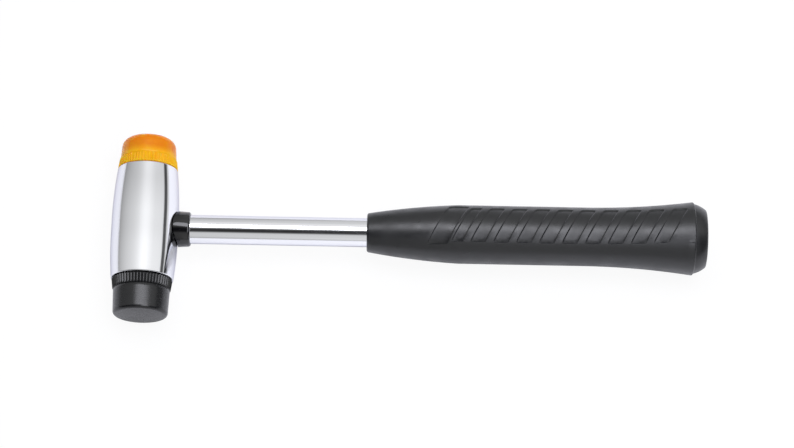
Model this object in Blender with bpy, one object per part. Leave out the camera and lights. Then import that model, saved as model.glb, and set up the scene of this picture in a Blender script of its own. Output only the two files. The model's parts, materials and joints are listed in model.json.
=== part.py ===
"""Soft-face body hammer with two screw-in tips, modelled in metres with +Z up.

The hammer lies on its side. The handle runs along +X, the head along Y with its amber tip
at +Y, and the belly of the head and the rim of the grip rest on the plane Z = 0.
Every turned piece is drawn round its own Z axis and then laid along the handle or the head.
In the hammer's own frame the head axis and the handle axis cross at the origin.
"""
import math

import bmesh
import bpy
from mathutils import Matrix, Vector

# Head barrel
BARREL_END_D = 0.0313
BARREL_BELLY_RISE = 0.00115
BARREL_BELLY_LENGTH = 0.0528
BARREL_BAND = 0.0090
BARREL_AMBER_END = 0.0309
BARREL_BLACK_END = 0.0271
BARREL_CHAMFER = 0.0004

# Screw-in tips: a knurled collar against the barrel, then a tapered nose
COLLAR_STEP = 0.0005
COLLAR_TAPER = 0.0006
COLLAR_HEIGHT = 0.0052
COLLAR_CHAMFER = 0.0003
KNURL_DEPTH = 0.00035
KNURL_RIDGES = 60
NOSE_STEP = 0.0004
NOSE_TAPER = 0.0004
AMBER_TIP_HEIGHT = 0.0164
AMBER_RIM_ROUND = 0.0048
BLACK_TIP_HEIGHT = 0.0192
BLACK_RIM_ROUND = 0.0033

# Threaded studs of the tips, at their outside diameter
STUD_D = 0.0097
STUD_REACH = 0.0130
STUD_ROOT = 0.0080
STUD_CHAMFER = 0.0010
SOCKET_SPARE = 0.0010
SOCKET_CHAMFER = 0.0009

# Handle tube with its core, lock pin and end plug
TUBE_D = 0.0145
TUBE_WALL = 0.0015
TUBE_PAST_HEAD_AXIS = 0.0070
TUBE_EDGE = 0.0003
CORE_LENGTH = 0.0300
PIN_D = 0.0040
PIN_BITE = 0.0045
PIN_CHAMFER = 0.0005
PLUG_DEPTH = 0.0090
PLUG_FLANGE = 0.0025
PLUG_CHAMFER = 0.0008

# Ferrule between head and tube
FERRULE_HEAD_WALL = 0.00165
FERRULE_TUBE_WALL = 0.00135
FERRULE_LENGTH = 0.0063
FERRULE_ROUND = 0.0010

# Rubber grip
FREE_TUBE_LENGTH = 0.08875
GRIP_FRONT_WALL = 0.0024
GRIP_FRONT_ROUND = 0.0012
GRIP_BODY_D = 0.0295
GRIP_RIM_D = 0.0368
GRIP_BUTT_INSET = 0.00385
GRIP_TAPER_LENGTH = 0.0460
GRIP_TAPER_RISE = 0.00068
GRIP_BODY_LENGTH = 0.0633
GRIP_FLARE_LENGTH = 0.0546
GRIP_RIM_ROUND = 0.0008
GRIP_BUTT_LENGTH = 0.0061
GRIP_BUTT_RISE = 0.0004
GRIP_BUTT_FLOOR = 0.0080

# Slanted finger pockets, sunk into both broad sides of the grip; the first is a larger one
POCKET_DEPTH = 0.0005
POCKET_PITCH = 0.01138
POCKET_WIDTH = 0.0076
POCKET_SPAN = 0.0188
POCKET_LEAN = math.radians(28.5)
POCKET_TURN = math.radians(6)
POCKET_CORNER = 0.0020
POCKET_START = 0.0377
POCKET_RIM_MARGIN = 0.0100
FIRST_POCKET_START = 0.0407
FIRST_POCKET_WIDTH = 0.0102
FIRST_POCKET_SPAN = 0.0210
SECOND_POCKET_START = 0.0500
SECOND_POCKET_WIDTH = 0.0058

# Fits and facets
FIT_GAP = 0.0003
SAME_POINT = 1e-6
HEAD_FACETS = 48
NOSE_FACETS = 44
SMALL_FACETS = 24
HANDLE_FACETS = 40
GRIP_FACETS = 48

# Turns that lay a piece's own Z axis along the hammer
ALONG_HANDLE = (0.0, math.pi / 2, 0.0)
TOWARDS_AMBER = (-math.pi / 2, 0.0, 0.0)
TOWARDS_BLACK = (math.pi / 2, 0.0, 0.0)

# Sizes and places that follow from the ones above
BARREL_BELLY = BARREL_END_D / 2 + BARREL_BELLY_RISE
COLLAR_SEAT = BARREL_END_D / 2 - COLLAR_STEP
COLLAR_OUTER = COLLAR_SEAT - COLLAR_TAPER
NOSE_ROOT = COLLAR_OUTER - NOSE_STEP
NOSE_FACE = NOSE_ROOT - NOSE_TAPER
SOCKET_D = STUD_D + 2 * FIT_GAP
BORE_D = TUBE_D + 2 * FIT_GAP
PIN_HOLE_D = PIN_D + 2 * FIT_GAP
CORE_D = TUBE_D - 2 * TUBE_WALL - 2 * FIT_GAP
PIN_HALF = BORE_D / 2 + PIN_BITE
AMBER_SEAT = BARREL_AMBER_END + FIT_GAP
BLACK_SEAT = BARREL_BLACK_END + FIT_GAP
FERRULE_END = BARREL_BELLY + FERRULE_LENGTH
GRIP_FRONT = FERRULE_END + FREE_TUBE_LENGTH
GRIP_BODY_START = GRIP_FRONT + GRIP_TAPER_LENGTH
GRIP_FLARE_START = GRIP_BODY_START + GRIP_BODY_LENGTH
GRIP_RIM = GRIP_FLARE_START + GRIP_FLARE_LENGTH
GRIP_BUTT = GRIP_RIM + GRIP_BUTT_LENGTH
GRIP_BORE_END = GRIP_BUTT - GRIP_BUTT_FLOOR
TUBE_END = GRIP_BORE_END - PLUG_FLANGE - 2 * FIT_GAP


def finish(name, colour, roughness, metallic=0.0, transmission=0.0):
    """A Principled material; the colour is linear RGB."""
    material = bpy.data.materials.new(name)
    material.use_nodes = True
    shader = material.node_tree.nodes["Principled BSDF"]
    shader.inputs["Base Color"].default_value = (*colour, 1.0)
    shader.inputs["Roughness"].default_value = roughness
    shader.inputs["Metallic"].default_value = metallic
    shader.inputs["Transmission Weight"].default_value = transmission
    material.diffuse_color = (*colour, 1.0)
    return material


def arc(start, end, rise, steps):
    """Points of a round stretch from start to end, both included.

    Points are (radius, height). A stretch that climbs stands proud of its chord by rise
    on the outer side, and a negative rise makes it hollow.
    """
    start = Vector(start)
    end = Vector(end)
    half = (end - start).length / 2
    along = (end - start).normalized()
    outward = Vector((along.y, -along.x))
    half_turn = 2 * math.atan2(rise, half)
    radius = half / math.sin(half_turn)
    middle = (start + end) / 2
    points = []
    for step in range(steps + 1):
        turn = half_turn * (2 * step / steps - 1)
        sideways = radius * (math.cos(turn) - math.cos(half_turn))
        point = middle + along * radius * math.sin(turn) + outward * sideways
        points.append((point.x, point.y))
    return points


def quarter_round(start, end, steps=4):
    """A quarter circle, convex on the outer side of a climbing profile."""
    rise = math.dist(start, end) * (math.sqrt(2) - 1) / 2
    return arc(start, end, rise, steps)


def joined(*stretches):
    """One profile from stretches that may share their end points."""
    points = []
    for stretch in stretches:
        for point in stretch:
            if not points or math.dist(points[-1], point) > SAME_POINT:
                points.append(point)
    return points


def add_object(name, builder, material, turn=(0, 0, 0), place=(0, 0, 0)):
    """An object from a finished bmesh, laid on the hammer's frame and shaded smooth."""
    bmesh.ops.recalc_face_normals(builder, faces=builder.faces)
    mesh = bpy.data.meshes.new(name)
    builder.to_mesh(mesh)
    builder.free()
    mesh.shade_smooth()
    mesh.set_sharp_from_angle(angle=math.radians(30))
    if material:
        mesh.materials.append(material)
    piece = bpy.data.objects.new(name, mesh)
    bpy.context.scene.collection.objects.link(piece)
    piece.parent = hammer
    piece.rotation_euler = turn
    piece.location = place
    return piece


def turned(name, profile, facets, material, turn, place=(0, 0, 0)):
    """A turned solid: its (radius, height) profile starts and ends on its axis, or is a loop."""
    builder = bmesh.new()
    verts = [builder.verts.new((radius, 0, height)) for radius, height in profile]
    edges = [builder.edges.new(pair) for pair in zip(verts, verts[1:])]
    bmesh.ops.spin(
        builder, geom=verts + edges, cent=(0, 0, 0), axis=(0, 0, 1),
        angle=2 * math.pi, steps=facets, use_merge=True,
    )
    bmesh.ops.remove_doubles(builder, verts=builder.verts, dist=SAME_POINT)
    return add_object(name, builder, material, turn, place)


def as_tool(piece):
    """Marks a shape that only cuts or adds to another."""
    piece.hide_render = True
    piece.display_type = "WIRE"
    return piece


def rod(name, diameter, low, high, turn, place=(0, 0, 0), facets=SMALL_FACETS):
    """A plain round cutter from one height to another."""
    radius = diameter / 2
    profile = [(0, low), (radius, low), (radius, high), (0, high)]
    return as_tool(turned(name, profile, facets, None, turn, place))


def combine(piece, tool, operation):
    """Cuts, joins or meets a piece with a tool."""
    modifier = piece.modifiers.new(tool.name, "BOOLEAN")
    modifier.operation = operation
    modifier.object = tool
    modifier.solver = "EXACT"


def resting_frame():
    """The hammer's own frame, tilted until belly and grip rim touch Z = 0, its box centred."""
    belly = BARREL_BELLY
    rim = GRIP_RIM_D / 2
    rim_place = GRIP_RIM - GRIP_RIM_ROUND
    tilt = math.atan2(rim, rim_place) - math.asin(belly / math.hypot(rim, rim_place))
    butt = rim - GRIP_BUTT_INSET
    butt_reach = GRIP_BUTT * math.cos(tilt) + butt * abs(math.sin(tilt))
    amber_face = AMBER_SEAT + AMBER_TIP_HEIGHT
    black_face = BLACK_SEAT + BLACK_TIP_HEIGHT
    frame = bpy.data.objects.new("hammer_frame", None)
    bpy.context.scene.collection.objects.link(frame)
    frame.rotation_euler = (0, -tilt, 0)
    frame.location = ((belly - butt_reach) / 2, (black_face - amber_face) / 2, belly)
    return frame


def barrel_radius(offset):
    """Radius of the barrel at a distance from the handle axis.

    A straight band that the head lies on, then a belly arc on each side of it to the end.
    """
    half = (BARREL_BELLY_LENGTH - BARREL_BAND) / 2
    curve = (half ** 2 + BARREL_BELLY_RISE ** 2) / (2 * BARREL_BELLY_RISE)
    past_band = max(abs(offset) - BARREL_BAND / 2, 0)
    return BARREL_BELLY - curve + math.sqrt(curve ** 2 - past_band ** 2)


def barrel_outline(growth=0.0, steps=5):
    """Outer points of the barrel from its black end to its amber end, grown by a clearance."""
    band = BARREL_BAND / 2
    low = BARREL_CHAMFER - BARREL_BLACK_END
    high = BARREL_AMBER_END - BARREL_CHAMFER
    shares = [step / steps for step in range(steps + 1)]
    offsets = [low + (-band - low) * share for share in shares]
    offsets += [band + (high - band) * share for share in shares]
    return [(barrel_radius(offset) + growth, offset) for offset in offsets]


def make_barrel(chrome):
    """Chromed head: belly, tapped socket at each end, hole for the lock pin, cross bore."""
    outline = barrel_outline()
    socket = SOCKET_D / 2
    mouth = socket + SOCKET_CHAMFER
    black_end = -BARREL_BLACK_END
    black_floor = black_end + STUD_REACH + SOCKET_SPARE
    amber_end = BARREL_AMBER_END
    amber_floor = amber_end - STUD_REACH - SOCKET_SPARE
    pin_hole_end = PIN_HALF + FIT_GAP
    pin_way = [(0, pin_hole_end), (PIN_HOLE_D / 2, pin_hole_end), (PIN_HOLE_D / 2, black_floor)]
    black_socket = [(socket, black_floor), (socket, black_end + SOCKET_CHAMFER), (mouth, black_end)]
    black_rim = [(outline[0][0] - BARREL_CHAMFER, black_end)]
    amber_rim = [(outline[-1][0] - BARREL_CHAMFER, amber_end)]
    amber_socket = [(mouth, amber_end), (socket, amber_end - SOCKET_CHAMFER)]
    amber_socket += [(socket, amber_floor), (0, amber_floor)]
    profile = joined(pin_way, black_socket, black_rim, outline, amber_rim, amber_socket)
    barrel = turned("head_barrel", profile, HEAD_FACETS, chrome, TOWARDS_AMBER)
    bore_floor = -TUBE_PAST_HEAD_AXIS - FIT_GAP
    bore = rod("cross_bore", BORE_D, bore_floor, FERRULE_END, ALONG_HANDLE, facets=HANDLE_FACETS)
    combine(barrel, bore, "DIFFERENCE")


def make_collar(name, turn, place):
    """Knurled collar of a tip: a notched disc drawn up through a chamfer at each end."""
    levels = [
        (COLLAR_SEAT - COLLAR_CHAMFER, 0.0),
        (COLLAR_SEAT, COLLAR_CHAMFER),
        (COLLAR_OUTER, COLLAR_HEIGHT - COLLAR_CHAMFER),
        (COLLAR_OUTER - COLLAR_CHAMFER, COLLAR_HEIGHT),
    ]
    builder = bmesh.new()
    bmesh.ops.create_circle(builder, segments=2 * KNURL_RIDGES, radius=levels[0][0])
    for number, vert in enumerate(builder.verts):
        if number % 2:
            vert.co *= 1 - KNURL_DEPTH / COLLAR_SEAT
    loop = builder.edges[:]
    for (radius, height), (next_radius, next_height) in zip(levels, levels[1:]):
        drawn = bmesh.ops.extrude_edge_only(builder, edges=loop)["geom"]
        verts = [item for item in drawn if isinstance(item, bmesh.types.BMVert)]
        loop = [item for item in drawn if isinstance(item, bmesh.types.BMEdge)]
        growth = next_radius / radius
        bmesh.ops.scale(builder, verts=verts, vec=(growth, growth, 1))
        bmesh.ops.translate(builder, verts=verts, vec=(0, 0, next_height - height))
    bmesh.ops.holes_fill(builder, edges=builder.edges)
    return as_tool(add_object(name, builder, None, turn, place))


def make_tip(colour_name, material, turn, place, height, rim_round):
    """A screw-in tip: tapered nose, rounded rim, flat face, knurled collar, bore for its stud."""
    core_start = COLLAR_HEIGHT / 2
    sides = [(0, core_start), (NOSE_ROOT, core_start), (NOSE_ROOT, COLLAR_HEIGHT)]
    rim_start = (NOSE_FACE, height - rim_round)
    rim = quarter_round(rim_start, (NOSE_FACE - rim_round, height), steps=5)
    profile = joined(sides, rim, [(0, height)])
    tip = turned(colour_name + "_tip", profile, NOSE_FACETS, material, turn, place)
    combine(tip, make_collar(colour_name + "_collar", turn, place), "UNION")
    bore_end = STUD_ROOT + FIT_GAP
    bore = rod(colour_name + "_stud_bore", SOCKET_D, -COLLAR_HEIGHT, bore_end, turn, place)
    combine(tip, bore, "DIFFERENCE")


def make_stud(colour_name, steel, turn, place):
    """Steel stud moulded into a tip; its thread is cut into this diameter."""
    shank = STUD_D / 2
    end = shank - STUD_CHAMFER
    low = -STUD_REACH
    profile = [(0, low), (end, low), (shank, low + STUD_CHAMFER)]
    profile += [(shank, STUD_ROOT - STUD_CHAMFER), (end, STUD_ROOT), (0, STUD_ROOT)]
    turned(colour_name + "_stud", profile, SMALL_FACETS, steel, turn, place)


def pin_hole(name):
    """Cutter for the lock pin's way across the handle."""
    return rod(name, PIN_HOLE_D, -TUBE_D, TUBE_D, TOWARDS_AMBER)


def make_tube(chrome):
    """Chromed steel tube from the cross bore to the butt of the grip, drilled for the pin."""
    outer = TUBE_D / 2
    inner = outer - TUBE_WALL
    edge = outer - TUBE_EDGE
    low = -TUBE_PAST_HEAD_AXIS
    profile = [(inner, low), (edge, low), (outer, low + TUBE_EDGE)]
    profile += [(outer, TUBE_END - TUBE_EDGE), (edge, TUBE_END), (inner, TUBE_END), (inner, low)]
    tube = turned("handle_tube", profile, HANDLE_FACETS, chrome, ALONG_HANDLE)
    combine(tube, pin_hole("tube_pin_hole"), "DIFFERENCE")


def make_core(steel):
    """Solid core that keeps the tube round where the lock pin crosses it."""
    radius = CORE_D / 2
    low = -TUBE_PAST_HEAD_AXIS
    high = low + CORE_LENGTH
    profile = [(0, low), (radius, low), (radius, high), (0, high)]
    core = turned("tube_core", profile, HANDLE_FACETS, steel, ALONG_HANDLE)
    combine(core, pin_hole("core_pin_hole"), "DIFFERENCE")


def make_pin(steel):
    """Lock pin on the head axis, driven in through the black tip's socket."""
    radius = PIN_D / 2
    end = radius - PIN_CHAMFER
    profile = [(0, -PIN_HALF), (end, -PIN_HALF), (radius, PIN_CHAMFER - PIN_HALF)]
    profile += [(radius, PIN_HALF - PIN_CHAMFER), (end, PIN_HALF), (0, PIN_HALF)]
    turned("head_pin", profile, SMALL_FACETS, steel, TOWARDS_AMBER)


def make_plug(plastic):
    """Flanged plug that closes the tube under the butt of the grip."""
    shank = CORE_D / 2
    flange = TUBE_D / 2
    low = TUBE_END - PLUG_DEPTH
    seat = TUBE_END + FIT_GAP
    top = seat + PLUG_FLANGE
    profile = [(0, low), (shank - PLUG_CHAMFER, low), (shank, low + PLUG_CHAMFER), (shank, seat)]
    profile += [(flange, seat), (flange, top), (0, top)]
    turned("tube_end_plug", profile, HANDLE_FACETS, plastic, ALONG_HANDLE)


def make_ferrule(plastic):
    """Collar at the head, its inner end cut to a saddle that lies on the barrel."""
    bore = BORE_D / 2
    head_end = bore + FERRULE_HEAD_WALL
    tube_end = bore + FERRULE_TUBE_WALL
    hidden_start = BARREL_BELLY / 2
    sides = [(bore, hidden_start), (head_end, hidden_start), (head_end, BARREL_BELLY)]
    lip_start = (tube_end, FERRULE_END - FERRULE_ROUND)
    lip = quarter_round(lip_start, (tube_end - FERRULE_ROUND, FERRULE_END))
    profile = joined(sides, lip, [(bore, FERRULE_END), (bore, hidden_start)])
    ferrule = turned("ferrule", profile, HANDLE_FACETS, plastic, ALONG_HANDLE)
    saddle = barrel_outline(growth=FIT_GAP)
    saddle = [(0, saddle[0][1])] + saddle + [(0, saddle[-1][1])]
    cutter = as_tool(turned("saddle_cutter", saddle, HEAD_FACETS, None, TOWARDS_AMBER))
    combine(ferrule, cutter, "DIFFERENCE")


def grip_profile(growth=0.0):
    """Closed profile of the grip from its front to its butt, grown by a height."""
    front = BORE_D / 2 + GRIP_FRONT_WALL + growth
    body = GRIP_BODY_D / 2 + growth
    rim = GRIP_RIM_D / 2 + growth
    butt = rim - GRIP_BUTT_INSET
    lip_end = (front, GRIP_FRONT + GRIP_FRONT_ROUND)
    rim_start = (rim, GRIP_RIM - GRIP_RIM_ROUND)
    rim_end = (rim - GRIP_RIM_ROUND, GRIP_RIM)
    tangent_rise = -(rim - body) / 4
    return joined(
        [(0, GRIP_FRONT)],
        quarter_round((front - GRIP_FRONT_ROUND, GRIP_FRONT), lip_end, steps=3),
        arc(lip_end, (body, GRIP_BODY_START), GRIP_TAPER_RISE, steps=6),
        arc((body, GRIP_FLARE_START), rim_start, tangent_rise, steps=6),
        quarter_round(rim_start, rim_end, steps=2),
        arc(rim_end, (butt, GRIP_BUTT), GRIP_BUTT_RISE, steps=3),
        [(0, GRIP_BUTT)],
    )


def make_pockets():
    """Cutter for the finger pockets: leaning, round-cornered prisms less a shrunken grip.

    The grip sits a few degrees round on its tube, so the pockets turn with it.
    """
    first = GRIP_FRONT + POCKET_START
    count = 1 + int((GRIP_RIM - POCKET_RIM_MARGIN - first) / POCKET_PITCH)
    lean = Matrix.Identity(4)
    lean[0][1] = math.tan(POCKET_LEAN)
    pockets = [(first + number * POCKET_PITCH, POCKET_WIDTH, POCKET_SPAN) for number in range(count)]
    pockets[0] = (GRIP_FRONT + FIRST_POCKET_START, FIRST_POCKET_WIDTH, FIRST_POCKET_SPAN)
    pockets[1] = (GRIP_FRONT + SECOND_POCKET_START, SECOND_POCKET_WIDTH, POCKET_SPAN)
    builder = bmesh.new()
    for along, width, span in pockets:
        place = Matrix.Translation((along, 0, -GRIP_RIM_D))
        size = Matrix.Diagonal((width, span, 1, 1))
        corners = bmesh.ops.create_grid(
            builder, x_segments=1, y_segments=1, size=0.5, matrix=place @ lean @ size)["verts"]
        bmesh.ops.bevel(
            builder, geom=corners, offset=POCKET_CORNER, segments=2, profile=0.5,
            affect="VERTICES")
    raised = bmesh.ops.extrude_face_region(builder, geom=builder.faces[:])["geom"]
    tops = [item for item in raised if isinstance(item, bmesh.types.BMVert)]
    bmesh.ops.translate(builder, verts=tops, vec=(0, 0, 2 * GRIP_RIM_D))
    cutter = as_tool(add_object("finger_pockets", builder, None, turn=(-POCKET_TURN, 0, 0)))
    floors = turned(
        "pocket_floors", grip_profile(-POCKET_DEPTH), GRIP_FACETS, None, ALONG_HANDLE)
    combine(cutter, as_tool(floors), "DIFFERENCE")
    return cutter


def make_grip(rubber):
    """Push-on rubber grip: tapered front, finger pockets, flared butt, blind bore for the tube."""
    grip = turned("grip", grip_profile(), GRIP_FACETS, rubber, ALONG_HANDLE)
    combine(grip, make_pockets(), "DIFFERENCE")
    bore = rod("grip_bore", BORE_D, FERRULE_END, GRIP_BORE_END, ALONG_HANDLE, facets=HANDLE_FACETS)
    combine(grip, bore, "DIFFERENCE")


for leftover in list(bpy.data.objects):
    bpy.data.objects.remove(leftover, do_unlink=True)

hammer = resting_frame()
chrome_plate = finish("chrome_plate", (0.78, 0.78, 0.80), 0.08, metallic=1.0)
zinc_steel = finish("zinc_steel", (0.55, 0.55, 0.56), 0.35, metallic=1.0)
amber_plastic = finish("amber_plastic", (0.85, 0.25, 0.01), 0.20, transmission=0.4)
black_tip_plastic = finish("black_tip_plastic", (0.022, 0.022, 0.024), 0.42)
black_gloss_plastic = finish("black_gloss_plastic", (0.010, 0.010, 0.011), 0.18)
plug_plastic = finish("plug_plastic", (0.05, 0.05, 0.05), 0.50)
grip_rubber = finish("grip_rubber", (0.030, 0.030, 0.032), 0.62)

amber_place = (0, AMBER_SEAT, 0)
black_place = (0, -BLACK_SEAT, 0)
make_barrel(chrome_plate)
make_tip("amber", amber_plastic, TOWARDS_AMBER, amber_place, AMBER_TIP_HEIGHT, AMBER_RIM_ROUND)
make_stud("amber", zinc_steel, TOWARDS_AMBER, amber_place)
make_tip("black", black_tip_plastic, TOWARDS_BLACK, black_place, BLACK_TIP_HEIGHT, BLACK_RIM_ROUND)
make_stud("black", zinc_steel, TOWARDS_BLACK, black_place)
make_ferrule(black_gloss_plastic)
make_tube(chrome_plate)
make_core(zinc_steel)
make_pin(zinc_steel)
make_plug(plug_plastic)
make_grip(grip_rubber)
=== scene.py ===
# %% [markdown]
# # Dressing a soft-face body hammer
# The hammer's solids were modelled and packed first, and they stay fixed here as a frame.
# This lesson puts smooth, finished pieces over them, lights them like a product photograph
# and looks down on them from the front. Lengths are in metres, and +Z is up.

# %% Load the frame
import json
import math
from functools import lru_cache

import bmesh
import bpy
from mathutils import Matrix, Vector


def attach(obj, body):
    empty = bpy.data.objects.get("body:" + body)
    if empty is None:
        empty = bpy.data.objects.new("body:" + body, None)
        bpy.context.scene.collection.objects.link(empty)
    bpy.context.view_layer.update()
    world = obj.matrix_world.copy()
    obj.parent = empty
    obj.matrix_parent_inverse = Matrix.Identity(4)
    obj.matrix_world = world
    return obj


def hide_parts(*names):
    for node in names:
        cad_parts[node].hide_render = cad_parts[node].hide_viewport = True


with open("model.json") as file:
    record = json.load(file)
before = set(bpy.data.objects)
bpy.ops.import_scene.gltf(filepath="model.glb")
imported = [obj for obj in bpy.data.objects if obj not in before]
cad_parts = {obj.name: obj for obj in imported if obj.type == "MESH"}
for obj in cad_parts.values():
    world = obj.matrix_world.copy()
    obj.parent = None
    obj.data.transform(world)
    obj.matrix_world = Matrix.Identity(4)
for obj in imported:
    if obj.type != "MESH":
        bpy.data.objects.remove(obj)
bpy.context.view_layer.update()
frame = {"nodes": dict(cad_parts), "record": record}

MM = 0.001

# %% [markdown]
# ## Where the two axes lie
# A hammer is two turned shapes that cross: the head and the handle. Every piece is drawn
# upright round its own Z axis, where a profile is easy to read, and one matrix then lays it
# down. The flat faces that the record lists give both axes, so nothing is measured by eye.

# %% Lay out the axes
faces = {mount["name"]: mount for mount in frame["record"]["mounts"]}
head_point = Vector(faces["amber_face"]["pos_m"])
butt_point = Vector(faces["butt_face"]["pos_m"])
handle_way = Vector(faces["butt_face"]["axis"])
CROSSING = Vector((head_point.x, butt_point.y, head_point.z))
TILT = math.asin(handle_way.z)
ALONG_HANDLE = Matrix.Translation(CROSSING) @ Matrix.Rotation(math.pi / 2 - TILT, 4, "Y")
TOWARDS_AMBER = Matrix.Translation(CROSSING) @ Matrix.Rotation(-math.pi / 2, 4, "X")
TOWARDS_BLACK = Matrix.Translation(CROSSING) @ Matrix.Rotation(math.pi / 2, 4, "X")
print("axes cross at", [round(x / MM, 2) for x in CROSSING], "mm")
print("handle rises", round(math.degrees(TILT), 3), "degrees")

# %% [markdown]
# ## Camera
# The photograph looks steeply down on the hammer from the side of the black tip, with a long
# lens, so the two ends hardly differ in scale. The handle slopes a little to the right, which
# is a roll of the camera. The pieces are judged against the photograph, so the camera is
# fixed before any of them is made.

# %% Place the camera
ELEVATION = math.radians(70.6)
ROLL = math.radians(1.195)
DISTANCE = 1.26
AIM = Vector((-0.0057, 0.0044, 0.0177))
SENSOR_WIDTH = 36  # Blender takes the sensor and the lens in millimetres.
LENS = 113.4
camera_data = bpy.data.cameras.new("photo_camera")
camera_data.sensor_width = SENSOR_WIDTH
camera_data.lens = LENS
camera = bpy.data.objects.new("photo_camera", camera_data)
bpy.context.scene.collection.objects.link(camera)
stand = Matrix.Rotation(math.pi / 2 - ELEVATION, 4, "X")
camera.matrix_world = (Matrix.Translation(AIM) @ stand @ Matrix.Rotation(ROLL, 4, "Z")
                       @ Matrix.Translation((0, 0, DISTANCE)))
bpy.context.scene.camera = camera
print("camera at", [round(x, 3) for x in camera.matrix_world.translation])

# %% [markdown]
# ## Three helpers for materials
# Colours are written as the hex values that a colour picker shows, and a shader wants linear
# light, so one function converts them. A second one adds a node, sets its properties and its
# sockets, and links whatever is an output of another node. The third starts a material and
# sets what is the same all over its surface.

# %% Colour, node and material helpers
def colour(code):
    """Linear RGBA of an sRGB hex colour such as "#e6e7ea"."""
    channels = [int(code[place:place + 2], 16) / 255 for place in (1, 3, 5)]
    linear = [c / 12.92 if c <= 0.04045 else ((c + 0.055) / 1.055) ** 2.4 for c in channels]
    return (*linear, 1.0)


def add_node(tree, kind, settings=None, inputs=None):
    """A node of this kind, with its settings, and its inputs as values or links."""
    node = tree.nodes.new(kind)
    for name, value in (settings or {}).items():
        setattr(node, name, value)
    for socket, value in (inputs or {}).items():
        if isinstance(value, bpy.types.NodeSocket):
            tree.links.new(value, node.inputs[socket])
        else:
            node.inputs[socket].default_value = value
    return node


def start_material(name, sockets):
    """A Principled material with these sockets set: (material, its node tree, its shader)."""
    material = bpy.data.materials.new(name)
    material.use_nodes = True
    shader = material.node_tree.nodes["Principled BSDF"]
    for socket, value in sockets.items():
        shader.inputs[socket].default_value = value
    return material, material.node_tree, shader


print("white paper is", [round(c, 3) for c in colour("#f4f4f4")[:3]], "in linear light")

# %% [markdown]
# ## Studio room
# Chrome has no look of its own: it shows the room. A photographer builds a bright tent round a
# chromed tool and leaves a few dark gaps in it, so that the metal's edges stand out. The world
# can be that tent. One ramp says how bright it is from left to right over the head, by degrees,
# a second one from front to back over the handle, by the sine, and their product is the room.
# The camera itself sees plain white.

# %% Paint the room
bpy.context.scene.view_settings.view_transform = "Standard"
LEFT_TO_RIGHT = [
    (-90, 0.24), (-75, 0.32), (-62, 0.37), (-50, 0.41), (-39, 0.44), (-28, 0.48), (-17, 0.54),
    (-6, 0.63), (4, 0.68), (15, 0.67), (26, 0.61), (38, 0.55), (62, 0.53), (70, 0.50),
    (73, 0.05), (83, 0.06), (86, 0.40), (90, 0.55),
]
FRONT_TO_BACK = [
    (-1, 1.30), (-0.90, 1.17), (-0.77, 1.12), (-0.67, 0.96), (-0.60, 0.38), (-0.52, 0.09),
    (-0.39, 0.04), (-0.26, 0.05), (-0.16, 0.20), (-0.09, 0.60), (-0.03, 1.10), (0.05, 1.60),
    (0.12, 1.85), (0.25, 1.80), (0.39, 1.58), (0.50, 1.38), (0.57, 1.46), (0.69, 1.36),
    (0.80, 1.15), (1, 1.07),
]
BRIGHTEST = max(brightness for _, brightness in FRONT_TO_BACK)
world = bpy.data.worlds.new("studio_room")
bpy.context.scene.world = world
world.use_nodes = True
tree = world.node_tree
way = add_node(tree, "ShaderNodeTexCoord")
way = add_node(tree, "ShaderNodeSeparateXYZ", {}, {0: way.outputs["Generated"]})
turn = add_node(tree, "ShaderNodeMath", {"operation": "ARCTAN2"}, {
    0: way.outputs["X"], 1: way.outputs["Z"]})
turn = add_node(tree, "ShaderNodeMath", {"operation": "DEGREES"}, {0: turn.outputs[0]})
ramps = []
for place, stops, top in ((turn.outputs[0], LEFT_TO_RIGHT, 1.0),
                          (way.outputs["Y"], FRONT_TO_BACK, BRIGHTEST)):
    reach = stops[-1][0]
    share = add_node(tree, "ShaderNodeMapRange", {}, {
        "Value": place, "From Min": -reach, "From Max": reach})
    ramp = add_node(tree, "ShaderNodeValToRGB", {}, {0: share.outputs["Result"]})
    for _ in stops[2:]:
        ramp.color_ramp.elements.new(0.5)
    for element, (spot, brightness) in zip(ramp.color_ramp.elements, stops):
        element.position = (spot + reach) / (2 * reach)
        element.color = (brightness / top,) * 3 + (1,)
    ramps.append(ramp.outputs["Color"])
# A Mix node has sockets for every kind of data: 6 and 7 take its colours, and output 2 gives one.
tent = add_node(tree, "ShaderNodeMix", {"data_type": "RGBA", "blend_type": "MULTIPLY"}, {
    0: 1.0, 6: ramps[0], 7: ramps[1]})
tent = add_node(tree, "ShaderNodeBackground", {}, {
    "Color": tent.outputs[2], "Strength": BRIGHTEST})
backdrop = add_node(tree, "ShaderNodeBackground", {}, {"Color": (1, 1, 1, 1), "Strength": 1.0})
path = add_node(tree, "ShaderNodeLightPath")
room = add_node(tree, "ShaderNodeMixShader", {}, {
    0: path.outputs["Is Camera Ray"], 1: tent.outputs[0], 2: backdrop.outputs[0]})
tree.links.new(room.outputs[0], tree.nodes["World Output"].inputs["Surface"])
print("room:", len(LEFT_TO_RIGHT), "stops across,", len(FRONT_TO_BACK), "from front to back")

# %% [markdown]
# ## Floor
# The hammer lies on a sheet of white paper. To the camera most of the paper shines with a
# strength of 1, which is plain white, and the rest of it is an ordinary diffuse surface, so that
# the soft shadow stays. In reflections the ordinary share is larger, because chrome and black
# plastic also mirror the shade under the hammer.

# %% Lay the paper
SEEN_GLOW = 0.92
MIRRORED_GLOW = 0.06
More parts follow.
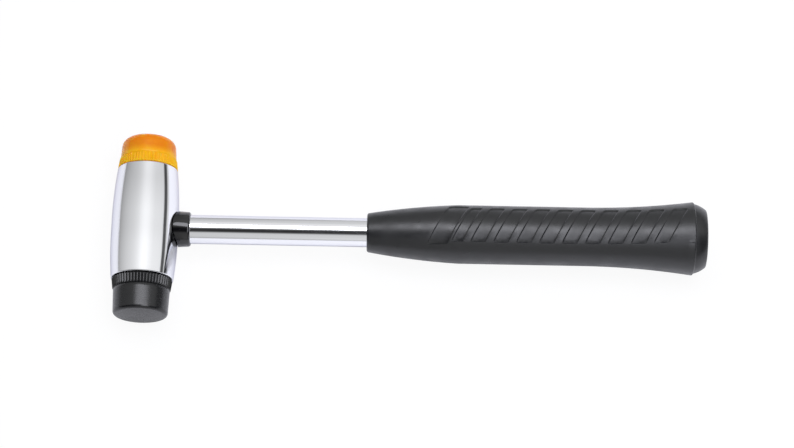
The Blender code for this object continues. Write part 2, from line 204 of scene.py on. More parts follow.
# A flat white without any gloss.
paper, tree, shader = start_material("matt_white_paper", {
    "Base Color": colour("#f7f7fa"), "Roughness": 0.9})
path = add_node(tree, "ShaderNodeLightPath")
seen = add_node(tree, "ShaderNodeMath", {"operation": "MULTIPLY"}, {
    0: path.outputs["Is Camera Ray"], 1: SEEN_GLOW})
mirrored = add_node(tree, "ShaderNodeMath", {"operation": "MAXIMUM"}, {
    0: path.outputs["Is Glossy Ray"], 1: path.outputs["Is Transmission Ray"]})
share = add_node(tree, "ShaderNodeMath", {"operation": "MULTIPLY_ADD"}, {
    0: mirrored.outputs[0], 1: MIRRORED_GLOW, 2: seen.outputs[0]})
glow = add_node(tree, "ShaderNodeEmission", {}, {"Color": (1, 1, 1, 1), "Strength": 1.0})
blend = add_node(tree, "ShaderNodeMixShader", {}, {
    0: share.outputs[0], 1: shader.outputs[0], 2: glow.outputs[0]})
tree.links.new(blend.outputs[0], tree.nodes["Material Output"].inputs["Surface"])

FLOOR_HALF = 4.0
FLOOR_GAP = 0.1 * MM
builder = bmesh.new()
bmesh.ops.create_grid(builder, x_segments=1, y_segments=1, size=FLOOR_HALF,
                      matrix=Matrix.Translation((0, 0, -FLOOR_GAP)))
mesh = bpy.data.meshes.new("paper_floor")
builder.to_mesh(mesh)
builder.free()
mesh.materials.append(paper)
floor = bpy.data.objects.new("paper_floor", mesh)
bpy.context.scene.collection.objects.link(floor)
print("floor:", 2 * FLOOR_HALF, "m wide")

# %% [markdown]
# ## Lamps
# Black rubber and black plastic show little but the lamps, so their sheen says where those hung.
# A long softbox runs askew, from behind the head to over the middle of the grip. A second one
# hangs in front of the grip, and its sheen reaches further down there. Their outlines would be
# hard in the chrome of the barrel, so it is flagged off, as a photographer does with a black
# card: the lamps get a list of pieces that they don't light. Flash tubes are a little cool.

# %% Hang the softboxes
SOFTBOXES = [  # name, place, turn in degrees, width, depth, watts
    ("long_softbox", (0.03, 0.14, 0.9), -20, 0.86, 0.36, 4.5),
    ("front_softbox", (0.275, -0.38, 0.9), 0, 0.45, 0.70, 4.2),
]
FLASH = colour("#f5f6ff")[:3]
flagged = bpy.data.collections.new("flagged_chrome")
for name, place, turn, width, depth, watts in SOFTBOXES:
    lamp = bpy.data.lights.new(name, "AREA")
    lamp.shape = "RECTANGLE"
    lamp.size, lamp.size_y, lamp.energy, lamp.color = width, depth, watts, FLASH
    softbox = bpy.data.objects.new(name, lamp)
    bpy.context.scene.collection.objects.link(softbox)
    softbox.matrix_world = Matrix.Translation(place) @ Matrix.Rotation(math.radians(turn), 4, "Z")
    softbox.visible_camera = False
    softbox.light_linking.receiver_collection = flagged
print("softboxes:", sum(box[-1] for box in SOFTBOXES), "W")

# %% [markdown]
# ## Turning a profile
# Nearly every piece of this hammer was turned on a lathe or moulded in a turned mould. So the
# main helper draws half of a section as a chain of edges and spins it once round. Two more
# helpers bend a stretch of the section into an arc, and the last one lays a finished piece in
# place and says which body carries it.

# %% Profile helpers
SAME_POINT = 1e-6
SHARP_EDGE = 35  # Faces that meet at more degrees than this keep a sharp edge.


def arc(start, end, rise, steps):
    """Points (radius, height) of a round stretch that stands proud of its chord by rise."""
    start, end = Vector(start), Vector(end)
    half = (end - start).length / 2
    along = (end - start).normalized()
    outward = Vector((along.y, -along.x))
    half_turn = 2 * math.atan2(rise, half)
    radius = half / math.sin(half_turn)
    points = []
    for step in range(steps + 1):
        turn = half_turn * (2 * step / steps - 1)
        sideways = radius * (math.cos(turn) - math.cos(half_turn))
        point = (start + end) / 2 + along * radius * math.sin(turn) + outward * sideways
        points.append((point.x, point.y))
    return points


def quarter_round(start, end, steps=6):
    """A quarter circle, convex on the outer side of a climbing profile."""
    return arc(start, end, math.dist(start, end) * (math.sqrt(2) - 1) / 2, steps)


def turned(profile, facets):
    """A bmesh of a profile that is spun once round Z, with its seam and poles closed."""
    builder = bmesh.new()
    verts = [builder.verts.new((radius, 0, height)) for radius, height in profile]
    edges = [builder.edges.new(pair) for pair in zip(verts, verts[1:])]
    bmesh.ops.spin(builder, geom=verts + edges, cent=(0, 0, 0), axis=(0, 0, 1),
                   angle=2 * math.pi, steps=facets, use_merge=True)
    bmesh.ops.remove_doubles(builder, verts=builder.verts, dist=SAME_POINT)
    return builder


def dress(name, builder, matrix, body, material, nodes, sharp=SHARP_EDGE):
    """Lays a bmesh in place as a smooth piece that rides on a body and stands for nodes."""
    bmesh.ops.transform(builder, matrix=matrix, verts=builder.verts)
    bmesh.ops.recalc_face_normals(builder, faces=builder.faces)
    mesh = bpy.data.meshes.new(name)
    builder.to_mesh(mesh)
    builder.free()
    mesh.shade_smooth()
    mesh.set_sharp_from_angle(angle=math.radians(sharp))
    mesh.materials.append(material)
    piece = bpy.data.objects.new(name, mesh)
    bpy.context.scene.collection.objects.link(piece)
    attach(piece, body)
    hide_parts(*nodes)
    print(name + ":", len(mesh.polygons), "faces for", ", ".join(nodes))
    return piece


print("a 1 mm quarter round has", len(quarter_round((MM, 0), (0, MM))), "points")

# %% [markdown]
# ## Chrome plate
# Decorative chrome is a thin bright layer over polished nickel. It mirrors the room almost
# perfectly, with a faint cool tone. Only a slight haze from polishing keeps it from being a
# perfect mirror. Blender's noise stays mostly between 0.3 and 0.7, so that range is stretched
# over the roughness here, and over every other uneven finish of the lesson.

# %% Chrome material
HAZE_PATCH = 12 * MM
NOISE_RANGE = {"From Min": 0.3, "From Max": 0.7}
# A clear grey mirror with soft edges in its reflections, a little cooler towards its outline.
chrome, tree, shader = start_material("bright_chrome_plate", {
    "Base Color": colour("#eaebee"), "Metallic": 1.0, "Specular Tint": colour("#d0d0d8")})
place = add_node(tree, "ShaderNodeTexCoord")
haze = add_node(tree, "ShaderNodeTexNoise", {}, {
    "Vector": place.outputs["Object"], "Scale": 1 / HAZE_PATCH, "Detail": 2.0})
haze = add_node(tree, "ShaderNodeMapRange", {}, {
    "Value": haze.outputs["Fac"], **NOISE_RANGE, "To Min": 0.07, "To Max": 0.10})
tree.links.new(haze.outputs["Result"], shader.inputs["Roughness"])
print("chrome haze patches:", HAZE_PATCH / MM, "mm")

# %% [markdown]
# ## Head barrel
# The head is a turned steel barrel with a shallow belly, plated all over. It lies on a narrow
# straight band in the middle of the belly. Each end has a chamfered socket for a tip. One
# profile from the lock pin's hole out to the skin and back to the other socket gives all of
# this in a single spin.

# %% Turn the barrel
BARREL_END = 15.65 * MM
BELLY_RISE = 1.15 * MM
BELLY_HALF = 26.4 * MM
BAND_HALF = 4.5 * MM
AMBER_END = 30.9 * MM
BLACK_END = -27.1 * MM
BARREL_ROUND = 0.4 * MM
SOCKET = 5.15 * MM
SOCKET_MOUTH = 6.05 * MM
SOCKET_DEPTH = 14.0 * MM
PIN_HOLE = 2.3 * MM
PIN_HOLE_END = 12.35 * MM
SKIN_STEPS = 60
BARREL_FACETS = 160


def barrel_radius(offset):
    """Radius at a distance from the handle axis: straight band, then belly arcs."""
    curve = ((BELLY_HALF - BAND_HALF) ** 2 + BELLY_RISE ** 2) / (2 * BELLY_RISE)
    past_band = max(abs(offset) - BAND_HALF, 0)
    return BARREL_END + BELLY_RISE - curve + math.sqrt(curve ** 2 - past_band ** 2)


lip = SOCKET_MOUTH - SOCKET
skin_low, skin_high = BLACK_END + BARREL_ROUND, AMBER_END - BARREL_ROUND
skin = [skin_low + (skin_high - skin_low) * step / SKIN_STEPS for step in range(SKIN_STEPS + 1)]
skin = [(barrel_radius(offset), offset) for offset in skin]
barrel_profile = [
    (0, PIN_HOLE_END), (PIN_HOLE, PIN_HOLE_END), (PIN_HOLE, BLACK_END + SOCKET_DEPTH),
    (SOCKET, BLACK_END + SOCKET_DEPTH), (SOCKET, BLACK_END + lip), (SOCKET_MOUTH, BLACK_END),
    *quarter_round((skin[0][0] - BARREL_ROUND, BLACK_END), skin[0]), *skin[1:-1],
    *quarter_round(skin[-1], (skin[-1][0] - BARREL_ROUND, AMBER_END)),
    (SOCKET_MOUTH, AMBER_END), (SOCKET, AMBER_END - lip), (SOCKET, AMBER_END - SOCKET_DEPTH),
    (0, AMBER_END - SOCKET_DEPTH),
]
barrel = dress("chrome_barrel", turned(barrel_profile, BARREL_FACETS), TOWARDS_AMBER,
               "hammer", chrome, ["head_barrel"])
flagged.objects.link(barrel)
flagged.collection_objects[0].light_linking.link_state = "EXCLUDE"

# %% [markdown]
# ## Cross bore
# The tube sits in a hole that was drilled into the side of the barrel, short of its far wall.
# A spun shape can't have a hole across it, so a plain cylinder is taken away by a Boolean. The
# result becomes the barrel's own mesh, and the cylinder goes.

# %% Drill the barrel
BORE_RADIUS = 7.55 * MM
BORE_FLOOR = -7.3 * MM
BORE_MOUTH = 20.0 * MM
BORE_FACETS = 128
builder = bmesh.new()
bmesh.ops.create_cone(
    builder, cap_ends=True, segments=BORE_FACETS, radius1=BORE_RADIUS, radius2=BORE_RADIUS,
    depth=BORE_MOUTH - BORE_FLOOR,
    matrix=ALONG_HANDLE @ Matrix.Translation((0, 0, (BORE_MOUTH + BORE_FLOOR) / 2)))
drill_mesh = bpy.data.meshes.new("drill")
builder.to_mesh(drill_mesh)
builder.free()
drill = bpy.data.objects.new("drill", drill_mesh)
bpy.context.scene.collection.objects.link(drill)
cut = barrel.modifiers.new("cross_bore", "BOOLEAN")
cut.object = drill
evaluated = barrel.evaluated_get(bpy.context.evaluated_depsgraph_get())
barrel.data = bpy.data.meshes.new_from_object(evaluated)
barrel.modifiers.clear()
barrel.data.shade_smooth()
barrel.data.set_sharp_from_angle(angle=math.radians(SHARP_EDGE))
bpy.data.objects.remove(drill)
print("drilled barrel:", len(barrel.data.polygons), "faces")

# %% [markdown]
# ## Handle tube
# A drawn steel tube, plated like the head. It runs from inside the head to the end plug under
# the rubber, so only its middle shows.

# %% Turn the tube
TUBE_OUTER = 7.25 * MM
TUBE_INNER = 5.75 * MM
TUBE_START = -7.0 * MM
TUBE_END = 270.75 * MM
TUBE_EDGE = 0.3 * MM
TUBE_FACETS = 128
tube_profile = [
    (TUBE_INNER, TUBE_START), (TUBE_OUTER - TUBE_EDGE, TUBE_START),
    (TUBE_OUTER, TUBE_START + TUBE_EDGE), (TUBE_OUTER, TUBE_END - TUBE_EDGE),
    (TUBE_OUTER - TUBE_EDGE, TUBE_END), (TUBE_INNER, TUBE_END), (TUBE_INNER, TUBE_START),
]
dress("chrome_tube", turned(tube_profile, TUBE_FACETS), ALONG_HANDLE,
      "hammer", chrome, ["handle_tube"])

# %% [markdown]
# ## Gloss black plastic
# The collar between head and tube is moulded ABS from a polished mould. Such a skin mirrors the
# lamps clearly, and only a faint waviness, like that of orange peel, breaks them up.

# %% Gloss black material
PEEL = 0.8 * MM
BUMP_HEIGHT = 0.05 * MM
# A deep black with small, bright highlights.
gloss_black, tree, shader = start_material("gloss_moulded_abs", {
    "Base Color": colour("#0a0a0c"), "Roughness": 0.10, "Specular IOR Level": 0.6})
place = add_node(tree, "ShaderNodeTexCoord")
peel = add_node(tree, "ShaderNodeTexNoise", {}, {
    "Vector": place.outputs["Object"], "Scale": 1 / PEEL, "Detail": 2.0})
peel_bump = add_node(tree, "ShaderNodeBump", {}, {
    "Height": peel.outputs["Fac"], "Strength": 0.15, "Distance": BUMP_HEIGHT})
tree.links.new(peel_bump.outputs["Normal"], shader.inputs["Normal"])
print("waves in the gloss:", PEEL / MM, "mm")

# %% [markdown]
# ## Ferrule
# A collar hides the joint between head and tube. Its inner end is hollowed to a saddle, because
# it lies on the round barrel. It is turned as a plain ring first, and then every point of its
# head end slides along the handle until it touches the barrel.

# %% Turn the ferrule and fit its saddle
FERRULE_BORE = 7.55 * MM
FERRULE_HEAD = 9.05 * MM
FERRULE_TUBE = 8.75 * MM
FERRULE_END = 23.1 * MM
FERRULE_ROUND = 1.0 * MM
FERRULE_FACETS = 128
SADDLE_ROUND = 0.5 * MM
SADDLE_STEPS = 4
SADDLE_GAP = 0.3 * MM
saddle_edge = quarter_round((FERRULE_HEAD - SADDLE_ROUND, 0), (FERRULE_HEAD, SADDLE_ROUND),
                            SADDLE_STEPS)
tube_edge = quarter_round((FERRULE_TUBE, FERRULE_END - FERRULE_ROUND),
                          (FERRULE_TUBE - FERRULE_ROUND, FERRULE_END))
ferrule_profile = [
    (FERRULE_BORE, 0), *saddle_edge, *tube_edge, (FERRULE_BORE, FERRULE_END), (FERRULE_BORE, 0),
]
ferrule = turned(ferrule_profile, FERRULE_FACETS)
for vert in ferrule.verts:
    if vert.co.z <= SADDLE_ROUND + SAME_POINT:
        seat = barrel_radius(vert.co.y) + SADDLE_GAP
        vert.co.z += math.sqrt(seat ** 2 - vert.co.x ** 2)
dress("saddle_ferrule", ferrule, ALONG_HANDLE,
      "hammer", gloss_black, ["ferrule"])

# %% [markdown]
# ## Striking tips
# Both tips are moulded: a knurled collar to grip while it is screwed in, then a nose with a
# slight taper and a rounded rim. The knurl is pressed into the spun shape: between the collar's
# two chamfers its columns move inward in a wave, so every ridge is narrow, stands between round
# valleys and carries its own thin highlight.

# %% Tip shape
COLLAR_SEAT = 15.15 * MM
COLLAR_OUTER = 14.55 * MM
COLLAR_HEIGHT = 5.2 * MM
COLLAR_CHAMFER = 0.3 * MM
NOSE_ROOT = 14.15 * MM
NOSE_FACE = 13.75 * MM
NOSE_FILLET = 0.4 * MM
STUD_BORE = 5.15 * MM
STUD_BORE_END = 8.3 * MM
KNURL_RIDGES = 60
RIDGE_COLUMNS = 6
TIP_STEPS = 8
RIM_STEPS = 12


def shape_tip(height, rim_round, crown, knurl):
    """A tip on its seat: collar, nose, rim and crowned face, with a bore for its stud."""
    shares = [step / TIP_STEPS for step in range(TIP_STEPS + 1)]
    low, high = COLLAR_CHAMFER, COLLAR_HEIGHT - COLLAR_CHAMFER
    collar = [(COLLAR_SEAT + (COLLAR_OUTER - COLLAR_SEAT) * share, low + (high - low) * share)
              for share in shares]
    root, shoulder = COLLAR_HEIGHT + NOSE_FILLET, height - crown - rim_round
    nose = [(NOSE_ROOT + (NOSE_FACE - NOSE_ROOT) * share, root + (shoulder - root) * share)
            for share in shares]
    edge = NOSE_FACE - rim_round
    face = [(edge * (1 - share), height - crown * (1 - share) ** 2) for share in shares]
    profile = [
        (0, STUD_BORE_END), (STUD_BORE, STUD_BORE_END), (STUD_BORE, 0),
        (COLLAR_SEAT - COLLAR_CHAMFER - knurl, 0), *collar,
        (COLLAR_OUTER - COLLAR_CHAMFER - knurl, COLLAR_HEIGHT),
        *nose[:-1], *quarter_round(nose[-1], face[0], RIM_STEPS), *face[1:],
    ]
    tip = turned(profile, RIDGE_COLUMNS * KNURL_RIDGES)
    for vert in tip.verts:
        on_collar = low - SAME_POINT < vert.co.z < high + SAME_POINT
        if on_collar and vert.co.xy.length > NOSE_ROOT:
            wave = abs(math.sin(KNURL_RIDGES / 2 * math.atan2(vert.co.y, vert.co.x)))
            vert.co.xy *= 1 - wave * knurl / COLLAR_SEAT
    return tip


ridge_pitch = 2 * math.pi * COLLAR_SEAT / KNURL_RIDGES
print("collar:", KNURL_RIDGES, "ridges,", round(ridge_pitch / MM, 2), "mm apart")

# %% [markdown]
# ## Amber tip
# The hard tip is cellulose acetate, a clear plastic that is dyed amber. Light goes in, wanders
# a few millimetres and comes out orange, more yellow towards the bright metal that it sits on.
# Subsurface scattering gives the wandering. The yellow near the metal is painted glow: the
# colour follows the tip's length, from a painted yellow at the seat to the dye's orange further
# out. The face is almost flat, with a wide round rim.

# %% Mould the amber tip
AMBER_SEAT_AT = 31.2 * MM
AMBER_SEAT = Matrix.Translation((0, 0, AMBER_SEAT_AT))
AMBER_HEIGHT = 16.4 * MM
AMBER_RIM = 4.8 * MM
AMBER_CROWN = 0.15 * MM
AMBER_KNURL = 0.35 * MM
RELIEF_EDGE = 60  # The flanks of a relief, such as the knurl, stay smooth up to these degrees.
SCATTER = 4 * MM
CLOUD = 5 * MM
YELLOW_END = 6 * MM
ORANGE_START = 9.5 * MM
# A glowing orange with soft edges and hardly any white sheen, in which red light goes furthest.
# Its yellow towards the seat is painted glow from the bright metal.
amber, tree, shader = start_material("amber_cellulose_acetate", {
    "Roughness": 0.24, "IOR": 1.48, "Specular IOR Level": 0.2, "Subsurface Weight": 0.8,
    "Subsurface Radius": (1.0, 0.45, 0.1), "Subsurface Scale": SCATTER})
place = add_node(tree, "ShaderNodeTexCoord")
apart = add_node(tree, "ShaderNodeSeparateXYZ", {}, {0: place.outputs["Object"]})
# Painted glow: the base colour is yellow near the seat, where the bright metal lights the amber,
# and the dye's orange further out.
seat_y = CROSSING.y + AMBER_SEAT_AT
depth = add_node(tree, "ShaderNodeMapRange", {}, {
    "Value": apart.outputs["Y"],
    "From Min": seat_y + YELLOW_END, "From Max": seat_y + ORANGE_START})
cloud = add_node(tree, "ShaderNodeTexNoise", {}, {
    "Vector": place.outputs["Object"], "Scale": 1 / CLOUD, "Detail": 2.0})
cloud = add_node(tree, "ShaderNodeMapRange", {}, {
    "Value": cloud.outputs["Fac"], **NOISE_RANGE, "To Min": -0.15, "To Max": 0.15})
depth = add_node(tree, "ShaderNodeMath", {"operation": "ADD", "use_clamp": True}, {
    0: depth.outputs["Result"], 1: cloud.outputs["Result"]})
painted_glow_mix = add_node(tree, "ShaderNodeMix", {"data_type": "RGBA"}, {
    0: depth.outputs[0], 6: colour("#e6ab10"), 7: colour("#d97f04")})
tree.links.new(painted_glow_mix.outputs[2], shader.inputs["Base Color"])
amber_shape = shape_tip(AMBER_HEIGHT, AMBER_RIM, AMBER_CROWN, AMBER_KNURL)
dress("amber_striking_tip", amber_shape, TOWARDS_AMBER @ AMBER_SEAT,
      "amber_tip", amber, ["amber_tip"], sharp=RELIEF_EDGE)

# %% [markdown]
# ## Black tip
# The softer tip is moulded polyurethane. It leaves the mould with a satin skin, neither matt
# nor glossy, and its face is slightly crowned inside a small round rim, so the face grows lighter
# towards the edge where the eye meets it at a flatter angle. A fine noise in the roughness keeps
# the sheen alive.

# %% Mould the black tip
BLACK_SEAT = Matrix.Translation((0, 0, 27.4 * MM))
BLACK_HEIGHT = 19.2 * MM
BLACK_RIM = 1.8 * MM
BLACK_CROWN = 0.7 * MM
BLACK_KNURL = 0.6 * MM
SKIN_GRAIN = 0.6 * MM
# A deep black with a soft, slightly uneven sheen.
satin_black, tree, shader = start_material("satin_moulded_polyurethane", {
    "Base Color": colour("#101113")})
place = add_node(tree, "ShaderNodeTexCoord")
skin_grain = add_node(tree, "ShaderNodeTexNoise", {}, {
    "Vector": place.outputs["Object"], "Scale": 1 / SKIN_GRAIN, "Detail": 3.0})
sheen = add_node(tree, "ShaderNodeMapRange", {}, {
    "Value": skin_grain.outputs["Fac"], **NOISE_RANGE, "To Min": 0.25, "To Max": 0.31})
tree.links.new(sheen.outputs["Result"], shader.inputs["Roughness"])
skin_bump = add_node(tree, "ShaderNodeBump", {}, {
    "Height": skin_grain.outputs["Fac"], "Strength": 0.05, "Distance": BUMP_HEIGHT})
tree.links.new(skin_bump.outputs["Normal"], shader.inputs["Normal"])
black_shape = shape_tip(BLACK_HEIGHT, BLACK_RIM, BLACK_CROWN, BLACK_KNURL)
dress("black_striking_tip", black_shape, TOWARDS_BLACK @ BLACK_SEAT,
      "black_tip", satin_black, ["black_tip"], sharp=RELIEF_EDGE)

# %% [markdown]
# ## Zinc plate
# The small steel pieces are zinc plated against rust. The zinc grows in patches of unlike
# crystals, so both its tone and its roughness follow the same cloudy noise.

# %% Zinc material
SPANGLE = 1.5 * MM
# A pale grey metal, cloudy where the plating grew unevenly.
zinc, tree, shader = start_material("zinc_plated_steel", {"Metallic": 1.0})
place = add_node(tree, "ShaderNodeTexCoord")
spangle = add_node(tree, "ShaderNodeTexNoise", {}, {
    "Vector": place.outputs["Object"], "Scale": 1 / SPANGLE, "Detail": 3.0})
tone = add_node(tree, "ShaderNodeMix", {"data_type": "RGBA"}, {
    0: spangle.outputs["Fac"], 6: colour("#a9acb0"), 7: colour("#c8c8c6")})
tree.links.new(tone.outputs[2], shader.inputs["Base Color"])
matt = add_node(tree, "ShaderNodeMapRange", {}, {
    "Value": spangle.outputs["Fac"], **NOISE_RANGE, "To Min": 0.28, "To Max": 0.45})
tree.links.new(matt.outputs["Result"], shader.inputs["Roughness"])
print("zinc spangles:", SPANGLE / MM, "mm")

# %% [markdown]
# ## Threaded studs
# A steel stud is moulded into each tip. A thread is a section that climbs as it turns, so a
# zigzag line is spun once round and lifted by exactly one pitch: each tooth then meets the
# next one, and the seam closes by merging.

# %% Cut the studs
STUD_CREST = 4.85 * MM
STUD_CORE = 4.0 * MM
STUD_PITCH = 1.5 * MM
STUD_LOW = -13.0 * MM
STUD_HIGH = 8.0 * MM
STUD_CHAMFER = 1.0 * MM
STUD_FACETS = 48
# Radius and share of the pitch at the corners of one tooth.
TOOTH = [(STUD_CORE, 0.0), (STUD_CORE, 0.2), (STUD_CREST, 0.53), (STUD_CREST, 0.67)]


def shape_stud():
    """A stud with a real thread, its ends cut square and chamfered."""
    builder = bmesh.new()
    teeth = math.ceil((STUD_HIGH - STUD_LOW) / STUD_PITCH) + 3
    start = STUD_LOW - 2 * STUD_PITCH
    line = [(radius, start + (number + part) * STUD_PITCH)
            for number in range(teeth) for radius, part in TOOTH]
    verts = [builder.verts.new((radius, 0, height)) for radius, height in line]
    edges = [builder.edges.new(pair) for pair in zip(verts, verts[1:])]
    bmesh.ops.spin(builder, geom=verts + edges, cent=(0, 0, 0), axis=(0, 0, 1),
                   dvec=(0, 0, STUD_PITCH / STUD_FACETS), angle=2 * math.pi,
                   steps=STUD_FACETS, use_merge=False)
    bmesh.ops.remove_doubles(builder, verts=builder.verts, dist=10 * SAME_POINT)
    for height, way in ((STUD_LOW, -1), (STUD_HIGH, 1)):
        bmesh.ops.bisect_plane(
            builder, geom=builder.verts[:] + builder.edges[:] + builder.faces[:],
            plane_co=(0, 0, height), plane_no=(0, 0, way), clear_outer=True)
    bmesh.ops.holes_fill(builder, edges=builder.edges)
    for vert in builder.verts:
        room = min(vert.co.z - STUD_LOW, STUD_HIGH - vert.co.z)
        widest = STUD_CREST - max(STUD_CHAMFER - room, 0)
        if vert.co.xy.length > widest:
            vert.co.xy *= widest / vert.co.xy.length
    return builder


dress("amber_threaded_stud", shape_stud(), TOWARDS_AMBER @ AMBER_SEAT,
      "amber_tip", zinc, ["amber_stud"])
dress("black_threaded_stud", shape_stud(), TOWARDS_BLACK @ BLACK_SEAT,
      "black_tip", zinc, ["black_stud"])

# %% [markdown]
# ## Rubber grip
# The grip is moulded rubber, pushed over the tube: a tapered front, a straight body, a flare
# and a chamfered butt. Slanted finger pockets are sunk into both broad sides. The skin is spun
# as one profile whose rings are close together at each pocket's walls. The rings are then
# sheared along the pockets' lean and the skin is sunk inside each pocket's rounded outline, so
# the pockets and the grip stay one clean surface. The outline comes first.

# %% Grip outline
BORE = 7.55 * MM
FRONT = 111.85 * MM
FRONT_RADIUS = 9.95 * MM
FRONT_ROUND = 1.2 * MM
BODY_START = 157.85 * MM
BODY_RADIUS = 14.75 * MM
FLARE_START = 221.15 * MM
RIM = 275.75 * MM
RIM_RADIUS = 18.4 * MM
RIM_ROUND = 0.8 * MM
BUTT = 281.85 * MM
BUTT_RADIUS = 14.55 * MM
BORE_END = 273.85 * MM
TAPER_RISE = 0.68 * MM
BUTT_RISE = 0.4 * MM
LIP_END = FRONT + FRONT_ROUND
RIM_START = RIM - RIM_ROUND
FLARE_RISE = (BODY_RADIUS - RIM_RADIUS) / 4
OUTLINE_STEPS = 40


def between(value, points):
    """Straight-line value between (place, value) points in rising order."""
    for (left, low), (right, high) in zip(points, points[1:]):
        if value <= right:
            return low + (high - low) * max(value - left, 0) / (right - left)
    return points[-1][1]


taper = arc((FRONT_RADIUS, LIP_END), (BODY_RADIUS, BODY_START), TAPER_RISE, OUTLINE_STEPS)
flare = arc((BODY_RADIUS, FLARE_START), (RIM_RADIUS, RIM_START), FLARE_RISE, OUTLINE_STEPS)
skin_points = [(height, radius) for radius, height in taper + flare]
mid_flare = between((FLARE_START + RIM_START) / 2, skin_points)
print("grip radius at the middle of the flare:", round(mid_flare / MM, 2), "mm")

# %% [markdown]
# ## Finger pockets
# Each pocket gives a finger an edge to hold on to. The first one is larger and the second one
# narrower. The distance to a pocket's rounded outline decides how deep the skin lies there, so
# a short list of (distance, share of the depth) points draws the wall of every pocket. A second
# list draws the front end, where the floor dips and the wall stands upright as a stop for the
# finger. Rings and columns of the spin are led to exactly those distances, and the rings are
# sheared along the pockets' lean, so the walls stay crisp with few faces.

# %% Pocket outline and wall
POCKET_DEPTH = 0.5 * MM
POCKET_CORNER = 2.0 * MM
POCKET_LEAN = math.tan(math.radians(28.5))
POCKET_PITCH = 11.38 * MM
POCKET_COUNT = 11
HALF_WIDTH = 3.8 * MM
HALF_SPAN = 9.4 * MM
ROW_START = FRONT + 37.7 * MM
# Place along the handle, half width and half span of each pocket.
POCKETS = [(FRONT + 40.7 * MM, 5.1 * MM, 10.5 * MM), (FRONT + 50.0 * MM, 2.9 * MM, HALF_SPAN)]
POCKETS += [(ROW_START + number * POCKET_PITCH, HALF_WIDTH, HALF_SPAN)
            for number in range(len(POCKETS), POCKET_COUNT)]
# Distance outside the outline and share of the depth there.
WALL = [(-0.62 * MM, 1.0), (-0.44 * MM, 0.95), (-0.10 * MM, 0.25), (0.06 * MM, 0.06),
        (0.30 * MM, 0.0)]
FRONT_WALL = [(-1.4 * MM, 1.0), (-0.16 * MM, 1.42), (-0.1 * MM, 1.44), (0.02 * MM, 0.02),
              (0.08 * MM, 0.0)]
BACK_STEEP = 1.6  # The wall at the back end is this much steeper than the side walls.
GRIP_FACETS = 288
COLUMN = 2 * math.pi / GRIP_FACETS
WALL_COLUMN = 29  # The first of the columns that follow a pocket's end walls.


@lru_cache
def nearest_pocket(along):
    """The pocket that a ring crosses or comes closest to."""
    return min(POCKETS, key=lambda pocket: abs(along - pocket[0]) - pocket[1])


@lru_cache
def column_turns(along):
    """Where a ring's columns stand, as (even turn, turn that follows the pockets' end walls)."""
    first, first_half, _ = POCKETS[0]
    radius = between(max(along, first - first_half - MM), skin_points)
    half_span = nearest_pocket(along)[2]
    turns = [(-math.pi / 2, -math.pi / 2), (math.pi / 2, math.pi / 2)]
    for number, ((back, _), (front, _)) in enumerate(zip(WALL, FRONT_WALL)):
        even = (WALL_COLUMN + number) * COLUMN
        turns.append((even, math.asin((half_span + back / BACK_STEEP) / radius)))
        turns.append((-even, -math.asin((half_span + front) / radius)))
    return sorted(turns)


def pocket_sink(along, across):
    """How deep the skin lies at a place, from its distance to the nearest pocket's outline."""
    place, half_width, half_span = nearest_pocket(along)
    side = abs(along - place) - half_width + POCKET_CORNER
    end = max(BACK_STEEP * (across - half_span), -across - half_span) + POCKET_CORNER
    reach = math.hypot(max(side, 0), max(end, 0))
    outside = reach + min(max(side, end), 0) - POCKET_CORNER
    front_share = max(end, 0) / max(reach, SAME_POINT) if across < 0 else 0
    wall, front_wall = between(outside, WALL), between(outside, FRONT_WALL)
    return POCKET_DEPTH * (wall * (1 - front_share) + front_wall * front_share)


def pocket_shear(along, across):
    """How far a ring slides along the handle, so that rings follow the pockets' lean."""
    (first, first_half, reach), (last, last_half, _) = POCKETS[0], POCKETS[-1]
    fade = between(along, [(LIP_END, 0), (first - first_half - MM, 1),
                           (last + last_half + MM, 1), (RIM_START, 0)])
    return fade * POCKET_LEAN * min(max(across, -reach - MM), reach + MM)


print("finger pockets:", len(POCKETS), "on each side,", round(POCKET_DEPTH / MM, 2), "mm deep")

# %% [markdown]
# ## Shaping the grip
# The profile runs from the bore over the lip, the taper, the pockets, the flare and the rim to
# the chamfered butt. It is spun once, then each point of the skin slides along the lean and
# moves in by the pockets' depth. The grip sits a few degrees round on its tube, so the pockets
# aren't quite square to the head.

# %% Spin the grip and sink its pockets
GRIP_TURN = Matrix.Rotation(math.radians(-6), 4, "Z")
FRONT_RINGS = 14
BACK_RINGS = 4
RIM_ROUND_STEPS = 5
BUTT_STEPS = 8
pocket_rings = []
for place, half_width, _ in POCKETS:
    edge = [half_width + distance for distance, _ in WALL]
    offsets = [-offset for offset in reversed(edge)] + [-half_width / 3, half_width / 3] + edge
    pocket_rings += [place + offset for offset in offsets]
first_ring, last_ring = pocket_rings[0], pocket_rings[-1]
front_rings = [LIP_END + (first_ring - LIP_END) * step / FRONT_RINGS for step in range(FRONT_RINGS)]
back_rings = [last_ring + (RIM_START - last_ring) * step / BACK_RINGS
              for step in range(1, BACK_RINGS + 1)]
rings = [(between(place, skin_points), place) for place in front_rings + pocket_rings + back_rings]
grip_profile = [
    (0, BORE_END), (BORE, BORE_END), (BORE, FRONT),
    *quarter_round((FRONT_RADIUS - FRONT_ROUND, FRONT), (FRONT_RADIUS, LIP_END))[:-1], *rings,
    *quarter_round((RIM_RADIUS, RIM_START), (RIM_RADIUS - RIM_ROUND, RIM), RIM_ROUND_STEPS)[1:],
    *arc((RIM_RADIUS - RIM_ROUND, RIM), (BUTT_RADIUS, BUTT), BUTT_RISE, BUTT_STEPS)[1:],
    (0, BUTT),
]
grip = turned(grip_profile, GRIP_FACETS)
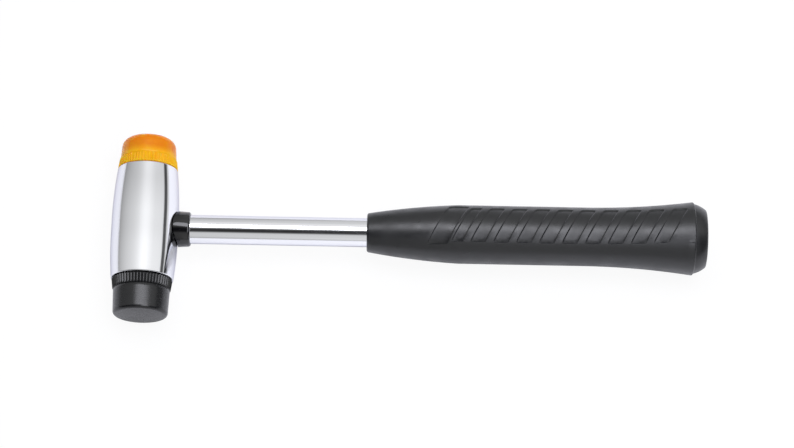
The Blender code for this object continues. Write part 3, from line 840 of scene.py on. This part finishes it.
for vert in grip.verts:
    place = vert.co.z
    if vert.co.xy.length > BORE + SAME_POINT and LIP_END < place < RIM_START:
        turn = between(math.atan2(vert.co.y, abs(vert.co.x)), column_turns(place))
        across = between(place, skin_points) * math.sin(turn)
        vert.co.z = place + pocket_shear(place, across)
        radius = between(vert.co.z, skin_points) - pocket_sink(place, across)
        vert.co.xy = math.copysign(radius * math.cos(turn), vert.co.x), radius * math.sin(turn)
print("grip:", len(rings), "rings in its skin")

# %% [markdown]
# ## Grip rubber
# Moulded grip rubber is charcoal, not black. Its fine grain scatters the light into a broad, low
# sheen, and a thin waxy bloom on top makes that sheen a little stronger in some places than in
# others. The grain is bump, the patches of bloom are uneven roughness, and the bloom itself is a
# weak, rough coat.

# %% Finish the grip
GRAIN = 0.35 * MM
BLOOM_PATCH = 7 * MM
# A dark charcoal with a wide, hazy highlight and a faint tooth.
rubber, tree, shader = start_material("matt_moulded_rubber", {
    "Base Color": colour("#131416"), "Coat Weight": 0.15, "Coat Roughness": 0.4})
place = add_node(tree, "ShaderNodeTexCoord")
grain = add_node(tree, "ShaderNodeTexNoise", {}, {
    "Vector": place.outputs["Object"], "Scale": 1 / GRAIN, "Detail": 2.0})
grain_bump = add_node(tree, "ShaderNodeBump", {}, {
    "Height": grain.outputs["Fac"], "Strength": 0.2, "Distance": BUMP_HEIGHT})
tree.links.new(grain_bump.outputs["Normal"], shader.inputs["Normal"])
bloom = add_node(tree, "ShaderNodeTexNoise", {}, {
    "Vector": place.outputs["Object"], "Scale": 1 / BLOOM_PATCH, "Detail": 3.0})
bloom = add_node(tree, "ShaderNodeMapRange", {}, {
    "Value": bloom.outputs["Fac"], **NOISE_RANGE, "To Min": 0.27, "To Max": 0.45})
tree.links.new(bloom.outputs["Result"], shader.inputs["Roughness"])
dress("rubber_grip", grip, ALONG_HANDLE @ GRIP_TURN,
      "hammer", rubber, ["grip"], sharp=RELIEF_EDGE)

# %% [markdown]
# ## Inner pieces
# The core, the lock pin and the end plug are hidden in the closed hammer. Their solids are
# right as they are, so they only get a finish: zinc for the steel, and nylon for the plug.

# %% Finish the inner pieces
FLOW_MARK = 2 * MM
# A plain dark grey with faint flow marks from the mould.
nylon, tree, shader = start_material("plain_moulded_nylon", {"Roughness": 0.5})
place = add_node(tree, "ShaderNodeTexCoord")
flow = add_node(tree, "ShaderNodeTexNoise", {}, {
    "Vector": place.outputs["Object"], "Scale": 1 / FLOW_MARK, "Detail": 2.0})
flow_tone = add_node(tree, "ShaderNodeMix", {"data_type": "RGBA"}, {
    0: flow.outputs["Fac"], 6: colour("#404040"), 7: colour("#505050")})
tree.links.new(flow_tone.outputs[2], shader.inputs["Base Color"])
inner_finishes = {"tube_core": zinc, "head_pin": zinc, "tube_end_plug": nylon}
for node, material in inner_finishes.items():
    for slot in frame["nodes"][node].material_slots:
        slot.material = material
print("inner pieces finished:", len(inner_finishes))
